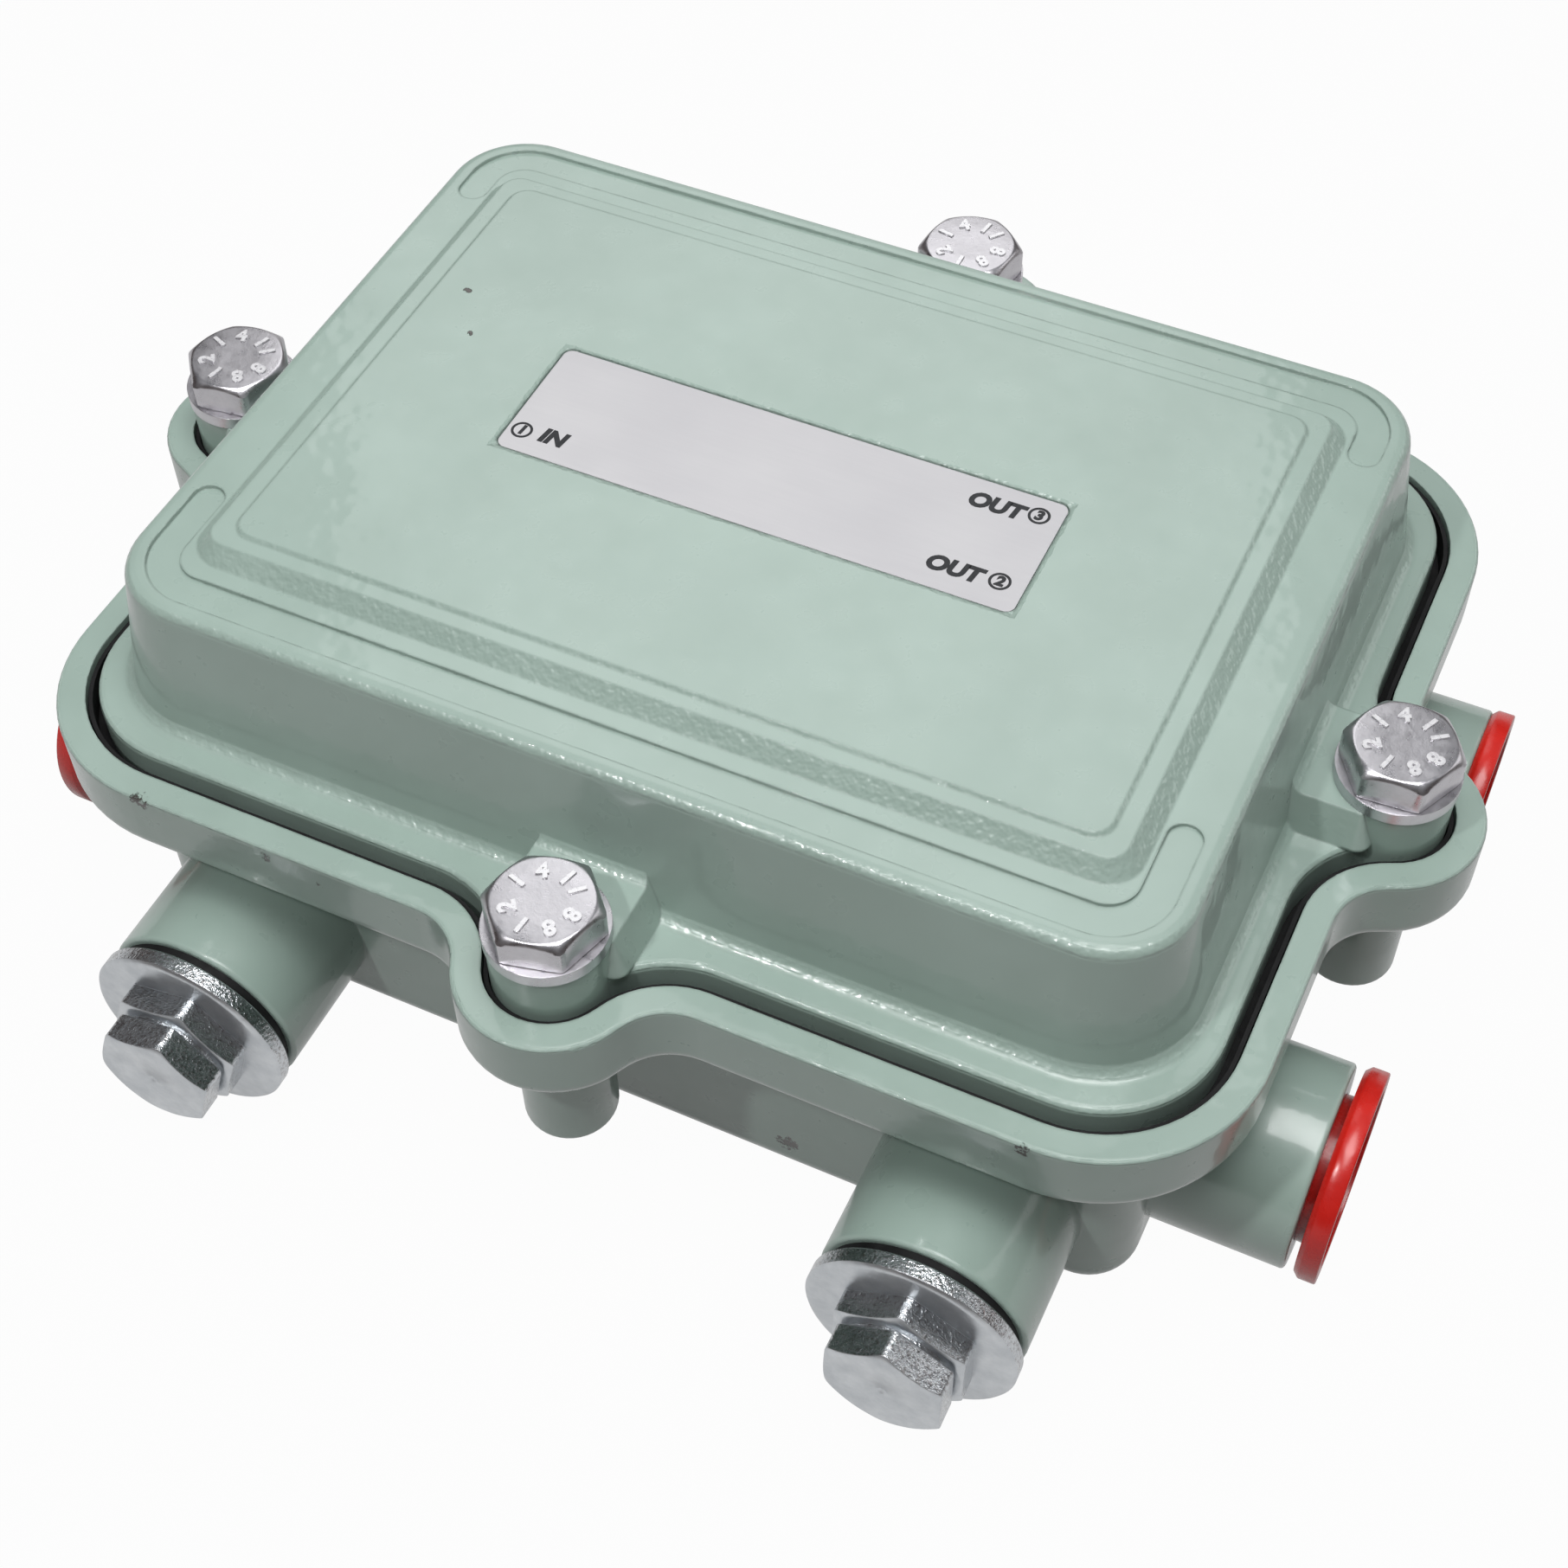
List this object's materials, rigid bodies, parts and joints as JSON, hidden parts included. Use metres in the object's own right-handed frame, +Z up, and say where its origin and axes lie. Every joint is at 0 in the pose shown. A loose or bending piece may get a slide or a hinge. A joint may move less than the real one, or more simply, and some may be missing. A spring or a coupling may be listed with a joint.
{
  "type": "coaxial line splitter",
  "caption": "Outdoor coaxial line splitter: die-cast eared housing with a bolted lid, tube ports closed by screw plugs and push-in caps, terminals and circuit board inside.",
  "frame": {"origin": "centre of the underside, midway between the four lid bolts", "axes": "+X towards the outgoing lines, +Y to the back, +Z up through the lid"},
  "size_m": [0.1596, 0.1394, 0.059],
  "materials": {
    "painted_casting": "satin paint on a casting",
    "black_rubber": "matt",
    "woven_wire": "knitted wire",
    "label_face": "satin printed plate",
    "board_laminate": "solder mask",
    "zinc_steel": "bright zinc plate",
    "bright_zinc": "bright plate",
    "red_plastic": "glossy moulding",
    "white_plastic": "moulded",
    "brass": "machined",
    "ferrite": "sintered",
    "enamelled_copper": "enamel on wire",
    "black_plastic": "moulded",
    "fuse_plastic": "translucent moulding",
    "capacitor_body": "dipped coating",
    "glazed_ceramic": "glazed"
  },
  "bodies": {
    "base": {"base_housing": "painted_casting", "weather_seal": "black_rubber", "mesh_seal": "woven_wire", "terminal_holder_in": "white_plastic", "terminal_in": "brass", "choke_core_in": "ferrite", "choke_coil_in": "enamelled_copper", "fuse_holder_in": "black_plastic", "fuse_in": "fuse_plastic", "terminal_holder_out_2": "white_plastic", "terminal_out_2": "brass", "choke_core_out_2": "ferrite", "choke_coil_out_2": "enamelled_copper", "fuse_holder_out_2": "black_plastic", "fuse_out_2": "fuse_plastic", "terminal_holder_out_3": "white_plastic", "terminal_out_3": "brass", "choke_core_out_3": "ferrite", "choke_coil_out_3": "enamelled_copper", "fuse_holder_out_3": "black_plastic", "fuse_out_3": "fuse_plastic", "circuit_board": "board_laminate", "board_screws": "zinc_steel", "splitter_transformer": "ferrite", "matching_transformer": "ferrite", "disc_capacitors": "capacitor_body", "surge_arrester": "glazed_ceramic"},
    "lid": {"lid": "painted_casting", "label_plate": "label_face"},
    "washer_front": {"washer_front": "zinc_steel"},
    "bolt_front": {"bolt_front": "zinc_steel"},
    "washer_right": {"washer_right": "zinc_steel"},
    "bolt_right": {"bolt_right": "zinc_steel"},
    "washer_back": {"washer_back": "zinc_steel"},
    "bolt_back": {"bolt_back": "zinc_steel"},
    "washer_left": {"washer_left": "zinc_steel"},
    "bolt_left": {"bolt_left": "zinc_steel"},
    "plug_seal_front_left": {"plug_seal_front_left": "black_rubber"},
    "port_plug_front_left": {"port_plug_front_left": "bright_zinc"},
    "plug_seal_front_right": {"plug_seal_front_right": "black_rubber"},
    "port_plug_front_right": {"port_plug_front_right": "bright_zinc"},
    "plug_seal_back_right": {"plug_seal_back_right": "black_rubber"},
    "port_plug_back_right": {"port_plug_back_right": "bright_zinc"},
    "port_cap_left_front": {"port_cap_left_front": "red_plastic"},
    "port_cap_right_front": {"port_cap_right_front": "red_plastic"},
    "port_cap_right_back": {"port_cap_right_back": "red_plastic"},
    "clamp_screw_in": {"clamp_screw_in": "zinc_steel"},
    "clamp_screw_out_2": {"clamp_screw_out_2": "zinc_steel"},
    "clamp_screw_out_3": {"clamp_screw_out_3": "zinc_steel"}
  },
  "joints": [
    {"name": "lid_lift", "type": "slide", "parent": "base", "child": "lid", "axis": [0, 0, 1], "range_m": [0, 0.05]},
    {"name": "bolt_front_rise", "type": "slide", "parent": "lid", "child": "washer_front", "axis": [0, 0, 1], "range_m": [0, 0.01524]},
    {"name": "bolt_front_turn", "type": "hinge", "parent": "washer_front", "child": "bolt_front", "pos_m": [0, -0.0535, 0.0442], "axis": [0, 0, 1], "range_deg": [0, 4356]},
    {"name": "bolt_right_rise", "type": "slide", "parent": "lid", "child": "washer_right", "axis": [0, 0, 1], "range_m": [0, 0.01524]},
    {"name": "bolt_right_turn", "type": "hinge", "parent": "washer_right", "child": "bolt_right", "pos_m": [0.0695, 0, 0.0442], "axis": [0, 0, 1], "range_deg": [0, 4356]},
    {"name": "bolt_back_rise", "type": "slide", "parent": "lid", "child": "washer_back", "axis": [0, 0, 1], "range_m": [0, 0.01524]},
    {"name": "bolt_back_turn", "type": "hinge", "parent": "washer_back", "child": "bolt_back", "pos_m": [0, 0.0535, 0.0442], "axis": [0, 0, 1], "range_deg": [0, 4356]},
    {"name": "bolt_left_rise", "type": "slide", "parent": "lid", "child": "washer_left", "axis": [0, 0, 1], "range_m": [0, 0.01524]},
    {"name": "bolt_left_turn", "type": "hinge", "parent": "washer_left", "child": "bolt_left", "pos_m": [-0.0695, 0, 0.0442], "axis": [0, 0, 1], "range_deg": [0, 4356]},
    {"name": "plug_front_left_out", "type": "slide", "parent": "base", "child": "plug_seal_front_left", "axis": [0, -1, 0], "range_m": [0, 0.01588]},
    {"name": "plug_front_left_turn", "type": "hinge", "parent": "plug_seal_front_left", "child": "port_plug_front_left", "pos_m": [-0.0434, -0.0594, 0.0115], "axis": [0, -1, 0], "range_deg": [0, 5436]},
    {"name": "plug_front_right_out", "type": "slide", "parent": "base", "child": "plug_seal_front_right", "axis": [0, -1, 0], "range_m": [0, 0.01588]},
    {"name": "plug_front_right_turn", "type": "hinge", "parent": "plug_seal_front_right", "child": "port_plug_front_right", "pos_m": [0.0434, -0.0594, 0.0115], "axis": [0, -1, 0], "range_deg": [0, 5436]},
    {"name": "plug_back_right_out", "type": "slide", "parent": "base", "child": "plug_seal_back_right", "axis": [0, 1, 0], "range_m": [0, 0.01588]},
    {"name": "plug_back_right_turn", "type": "hinge", "parent": "plug_seal_back_right", "child": "port_plug_back_right", "pos_m": [0.0434, 0.0594, 0.0115], "axis": [0, 1, 0], "range_deg": [0, 5436]},
    {"name": "cap_left_front_pull", "type": "slide", "parent": "base", "child": "port_cap_left_front", "axis": [-1, 0, 0], "range_m": [0, 0.07]},
    {"name": "cap_right_front_pull", "type": "slide", "parent": "base", "child": "port_cap_right_front", "axis": [1, 0, 0], "range_m": [0, 0.07]},
    {"name": "cap_right_back_pull", "type": "slide", "parent": "base", "child": "port_cap_right_back", "axis": [1, 0, 0], "range_m": [0, 0.07]},
    {"name": "clamp_in_rise", "type": "slide", "parent": "base", "child": "clamp_screw_in", "axis": [0, 0, 1], "range_m": [0, 0.0035]},
    {"name": "clamp_out_2_rise", "type": "slide", "parent": "base", "child": "clamp_screw_out_2", "axis": [0, 0, 1], "range_m": [0, 0.0035]},
    {"name": "clamp_out_3_rise", "type": "slide", "parent": "base", "child": "clamp_screw_out_3", "axis": [0, 0, 1], "range_m": [0, 0.0035]}
  ],
  "couplings": [
    {"joint": "bolt_front_turn", "follows": "bolt_front_rise", "rad_per_m": 4947.4},
    {"joint": "bolt_right_turn", "follows": "bolt_right_rise", "rad_per_m": 4947.4},
    {"joint": "bolt_back_turn", "follows": "bolt_back_rise", "rad_per_m": 4947.4},
    {"joint": "bolt_left_turn", "follows": "bolt_left_rise", "rad_per_m": 4947.4},
    {"joint": "plug_front_left_turn", "follows": "plug_front_left_out", "rad_per_m": 5936.9},
    {"joint": "plug_front_right_turn", "follows": "plug_front_right_out", "rad_per_m": 5936.9},
    {"joint": "plug_back_right_turn", "follows": "plug_back_right_out", "rad_per_m": 5936.9}
  ]
}
